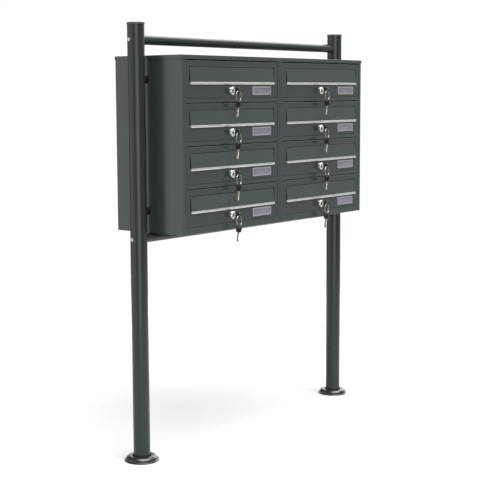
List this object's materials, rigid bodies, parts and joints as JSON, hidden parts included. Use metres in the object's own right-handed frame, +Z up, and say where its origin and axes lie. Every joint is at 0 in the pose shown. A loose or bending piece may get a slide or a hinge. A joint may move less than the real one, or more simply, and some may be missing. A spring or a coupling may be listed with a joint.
{
  "type": "cluster mailbox unit",
  "caption": "Free-standing cluster of letter boxes in two stacked columns between round posts, each with a top-hinged door, mail flap, cam lock and name plate.",
  "frame": {"origin": "on the floor, midway between the two posts and in the middle of the unit's overall depth", "axes": "+Z up, the doors face -Y, +X to the right seen from the front"},
  "size_m": [1.122, 0.296, 1.287],
  "materials": {
    "stand_paint": "semi-gloss powder coat, anthracite grey",
    "cabinet_paint": "semi-gloss powder coat, anthracite grey",
    "door_paint": "semi-gloss powder coat, anthracite grey",
    "flap_paint": "semi-gloss powder coat with a bright anodised edge strip",
    "cap_plastic": "moulded polyethylene",
    "spacer_plastic": "moulded nylon",
    "plate_steel": "powder coat over zinc",
    "zinc_steel": "bright zinc plating",
    "pin_steel": "drawn stainless steel",
    "lock_chrome": "polished chrome plating",
    "core_chrome": "nickel-plated plug and cam, key with a black moulded head",
    "key_set": "nickel-plated ring and blade, black moulded key head"
  },
  "bodies": {
    "stand": {"post_left": "stand_paint", "post_right": "stand_paint", "post_caps": "cap_plastic", "base_plates": "plate_steel", "base_rosettes": "stand_paint", "top_rail": "stand_paint", "bottom_rail": "stand_paint", "rail_plugs": "zinc_steel", "rail_bolts": "zinc_steel", "cabinet_left": "cabinet_paint", "cabinet_right": "cabinet_paint", "back_panels": "cabinet_paint", "shelves": "cabinet_paint", "top_cover": "cabinet_paint", "spacers": "spacer_plastic", "cabinet_bolts": "zinc_steel", "rivet_nuts": "zinc_steel", "joining_bolts": "zinc_steel", "hinge_pins": "pin_steel"},
    "door_body_left_1": {"door_left_1": "door_paint", "lock_left_1": "lock_chrome"},
    "flap_body_left_1": {"flap_left_1": "flap_paint"},
    "core_body_left_1": {"lock_core_left_1": "core_chrome"},
    "keys_body_left_1": {"keys_left_1": "key_set"},
    "door_body_left_2": {"door_left_2": "door_paint", "lock_left_2": "lock_chrome"},
    "flap_body_left_2": {"flap_left_2": "flap_paint"},
    "core_body_left_2": {"lock_core_left_2": "core_chrome"},
    "keys_body_left_2": {"keys_left_2": "key_set"},
    "door_body_left_3": {"door_left_3": "door_paint", "lock_left_3": "lock_chrome"},
    "flap_body_left_3": {"flap_left_3": "flap_paint"},
    "core_body_left_3": {"lock_core_left_3": "core_chrome"},
    "keys_body_left_3": {"keys_left_3": "key_set"},
    "door_body_left_4": {"door_left_4": "door_paint", "lock_left_4": "lock_chrome"},
    "flap_body_left_4": {"flap_left_4": "flap_paint"},
    "core_body_left_4": {"lock_core_left_4": "core_chrome"},
    "keys_body_left_4": {"keys_left_4": "key_set"},
    "door_body_right_1": {"door_right_1": "door_paint", "lock_right_1": "lock_chrome"},
    "flap_body_right_1": {"flap_right_1": "flap_paint"},
    "core_body_right_1": {"lock_core_right_1": "core_chrome"},
    "keys_body_right_1": {"keys_right_1": "key_set"},
    "door_body_right_2": {"door_right_2": "door_paint", "lock_right_2": "lock_chrome"},
    "flap_body_right_2": {"flap_right_2": "flap_paint"},
    "core_body_right_2": {"lock_core_right_2": "core_chrome"},
    "keys_body_right_2": {"keys_right_2": "key_set"},
    "door_body_right_3": {"door_right_3": "door_paint", "lock_right_3": "lock_chrome"},
    "flap_body_right_3": {"flap_right_3": "flap_paint"},
    "core_body_right_3": {"lock_core_right_3": "core_chrome"},
    "keys_body_right_3": {"keys_right_3": "key_set"},
    "door_body_right_4": {"door_right_4": "door_paint", "lock_right_4": "lock_chrome"},
    "flap_body_right_4": {"flap_right_4": "flap_paint"},
    "core_body_right_4": {"lock_core_right_4": "core_chrome"},
    "keys_body_right_4": {"keys_right_4": "key_set"}
  },
  "joints": [
    {"name": "door_hinge_left_1", "type": "hinge", "parent": "stand", "child": "door_body_left_1", "pos_m": [-0.234, -0.1085, 1.175], "axis": [-1, 0, 0], "range_deg": [0, 90]},
    {"name": "flap_hinge_left_1", "type": "hinge", "parent": "door_body_left_1", "child": "flap_body_left_1", "pos_m": [-0.234, -0.1103, 1.1575], "axis": [-1, 0, 0], "range_deg": [0, 40]},
    {"name": "lock_turn_left_1", "type": "hinge", "parent": "door_body_left_1", "child": "core_body_left_1", "pos_m": [-0.241, -0.1135, 1.092], "axis": [0, 1, 0], "range_deg": [0, 90], "deforming": ["keys_left_1"]},
    {"name": "keys_swing_left_1", "type": "hinge", "parent": "door_body_left_1", "child": "keys_body_left_1", "pos_m": [-0.241, -0.1385, 1.092], "axis": [-1, 0, 0], "range_deg": [0, 99]},
    {"name": "door_hinge_left_2", "type": "hinge", "parent": "stand", "child": "door_body_left_2", "pos_m": [-0.234, -0.1085, 1.051], "axis": [-1, 0, 0], "range_deg": [0, 90]},
    {"name": "flap_hinge_left_2", "type": "hinge", "parent": "door_body_left_2", "child": "flap_body_left_2", "pos_m": [-0.234, -0.1103, 1.0335], "axis": [-1, 0, 0], "range_deg": [0, 40]},
    {"name": "lock_turn_left_2", "type": "hinge", "parent": "door_body_left_2", "child": "core_body_left_2", "pos_m": [-0.241, -0.1135, 0.968], "axis": [0, 1, 0], "range_deg": [0, 90], "deforming": ["keys_left_2"]},
    {"name": "keys_swing_left_2", "type": "hinge", "parent": "door_body_left_2", "child": "keys_body_left_2", "pos_m": [-0.241, -0.1385, 0.968], "axis": [-1, 0, 0], "range_deg": [0, 99]},
    {"name": "door_hinge_left_3", "type": "hinge", "parent": "stand", "child": "door_body_left_3", "pos_m": [-0.234, -0.1085, 0.927], "axis": [-1, 0, 0], "range_deg": [0, 90]},
    {"name": "flap_hinge_left_3", "type": "hinge", "parent": "door_body_left_3", "child": "flap_body_left_3", "pos_m": [-0.234, -0.1103, 0.9095], "axis": [-1, 0, 0], "range_deg": [0, 40]},
    {"name": "lock_turn_left_3", "type": "hinge", "parent": "door_body_left_3", "child": "core_body_left_3", "pos_m": [-0.241, -0.1135, 0.844], "axis": [0, 1, 0], "range_deg": [0, 90], "deforming": ["keys_left_3"]},
    {"name": "keys_swing_left_3", "type": "hinge", "parent": "door_body_left_3", "child": "keys_body_left_3", "pos_m": [-0.241, -0.1385, 0.844], "axis": [-1, 0, 0], "range_deg": [0, 99]},
    {"name": "door_hinge_left_4", "type": "hinge", "parent": "stand", "child": "door_body_left_4", "pos_m": [-0.234, -0.1085, 0.803], "axis": [-1, 0, 0], "range_deg": [0, 90]},
    {"name": "flap_hinge_left_4", "type": "hinge", "parent": "door_body_left_4", "child": "flap_body_left_4", "pos_m": [-0.234, -0.1103, 0.7855], "axis": [-1, 0, 0], "range_deg": [0, 40]},
    {"name": "lock_turn_left_4", "type": "hinge", "parent": "door_body_left_4", "child": "core_body_left_4", "pos_m": [-0.241, -0.1135, 0.72], "axis": [0, 1, 0], "range_deg": [0, 90], "deforming": ["keys_left_4"]},
    {"name": "keys_swing_left_4", "type": "hinge", "parent": "door_body_left_4", "child": "keys_body_left_4", "pos_m": [-0.241, -0.1385, 0.72], "axis": [-1, 0, 0], "range_deg": [-10, 100]},
    {"name": "door_hinge_right_1", "type": "hinge", "parent": "stand", "child": "door_body_right_1", "pos_m": [0.234, -0.1085, 1.175], "axis": [-1, 0, 0], "range_deg": [0, 90]},
    {"name": "flap_hinge_right_1", "type": "hinge", "parent": "door_body_right_1", "child": "flap_body_right_1", "pos_m": [0.234, -0.1103, 1.1575], "axis": [-1, 0, 0], "range_deg": [0, 40]},
    {"name": "lock_turn_right_1", "type": "hinge", "parent": "door_body_right_1", "child": "core_body_right_1", "pos_m": [0.227, -0.1135, 1.092], "axis": [0, 1, 0], "range_deg": [0, 90], "deforming": ["keys_right_1"]},
    {"name": "keys_swing_right_1", "type": "hinge", "parent": "door_body_right_1", "child": "keys_body_right_1", "pos_m": [0.227, -0.1385, 1.092], "axis": [-1, 0, 0], "range_deg": [0, 99]},
    {"name": "door_hinge_right_2", "type": "hinge", "parent": "stand", "child": "door_body_right_2", "pos_m": [0.234, -0.1085, 1.051], "axis": [-1, 0, 0], "range_deg": [0, 90]},
    {"name": "flap_hinge_right_2", "type": "hinge", "parent": "door_body_right_2", "child": "flap_body_right_2", "pos_m": [0.234, -0.1103, 1.0335], "axis": [-1, 0, 0], "range_deg": [0, 40]},
    {"name": "lock_turn_right_2", "type": "hinge", "parent": "door_body_right_2", "child": "core_body_right_2", "pos_m": [0.227, -0.1135, 0.968], "axis": [0, 1, 0], "range_deg": [0, 90], "deforming": ["keys_right_2"]},
    {"name": "keys_swing_right_2", "type": "hinge", "parent": "door_body_right_2", "child": "keys_body_right_2", "pos_m": [0.227, -0.1385, 0.968], "axis": [-1, 0, 0], "range_deg": [0, 99]},
    {"name": "door_hinge_right_3", "type": "hinge", "parent": "stand", "child": "door_body_right_3", "pos_m": [0.234, -0.1085, 0.927], "axis": [-1, 0, 0], "range_deg": [0, 90]},
    {"name": "flap_hinge_right_3", "type": "hinge", "parent": "door_body_right_3", "child": "flap_body_right_3", "pos_m": [0.234, -0.1103, 0.9095], "axis": [-1, 0, 0], "range_deg": [0, 40]},
    {"name": "lock_turn_right_3", "type": "hinge", "parent": "door_body_right_3", "child": "core_body_right_3", "pos_m": [0.227, -0.1135, 0.844], "axis": [0, 1, 0], "range_deg": [0, 90], "deforming": ["keys_right_3"]},
    {"name": "keys_swing_right_3", "type": "hinge", "parent": "door_body_right_3", "child": "keys_body_right_3", "pos_m": [0.227, -0.1385, 0.844], "axis": [-1, 0, 0], "range_deg": [0, 99]},
    {"name": "door_hinge_right_4", "type": "hinge", "parent": "stand", "child": "door_body_right_4", "pos_m": [0.234, -0.1085, 0.803], "axis": [-1, 0, 0], "range_deg": [0, 90]},
    {"name": "flap_hinge_right_4", "type": "hinge", "parent": "door_body_right_4", "child": "flap_body_right_4", "pos_m": [0.234, -0.1103, 0.7855], "axis": [-1, 0, 0], "range_deg": [0, 40]},
    {"name": "lock_turn_right_4", "type": "hinge", "parent": "door_body_right_4", "child": "core_body_right_4", "pos_m": [0.227, -0.1135, 0.72], "axis": [0, 1, 0], "range_deg": [0, 90], "deforming": ["keys_right_4"]},
    {"name": "keys_swing_right_4", "type": "hinge", "parent": "door_body_right_4", "child": "keys_body_right_4", "pos_m": [0.227, -0.1385, 0.72], "axis": [-1, 0, 0], "range_deg": [-10, 100]}
  ],
  "couplings": [
    {"joint": "keys_swing_left_1", "follows": "door_hinge_left_2", "ratio": 1.1},
    {"joint": "keys_swing_left_2", "follows": "door_hinge_left_3", "ratio": 1.1},
    {"joint": "keys_swing_left_3", "follows": "door_hinge_left_4", "ratio": 1.1},
    {"joint": "keys_swing_right_1", "follows": "door_hinge_right_2", "ratio": 1.1},
    {"joint": "keys_swing_right_2", "follows": "door_hinge_right_3", "ratio": 1.1},
    {"joint": "keys_swing_right_3", "follows": "door_hinge_right_4", "ratio": 1.1}
  ]
}
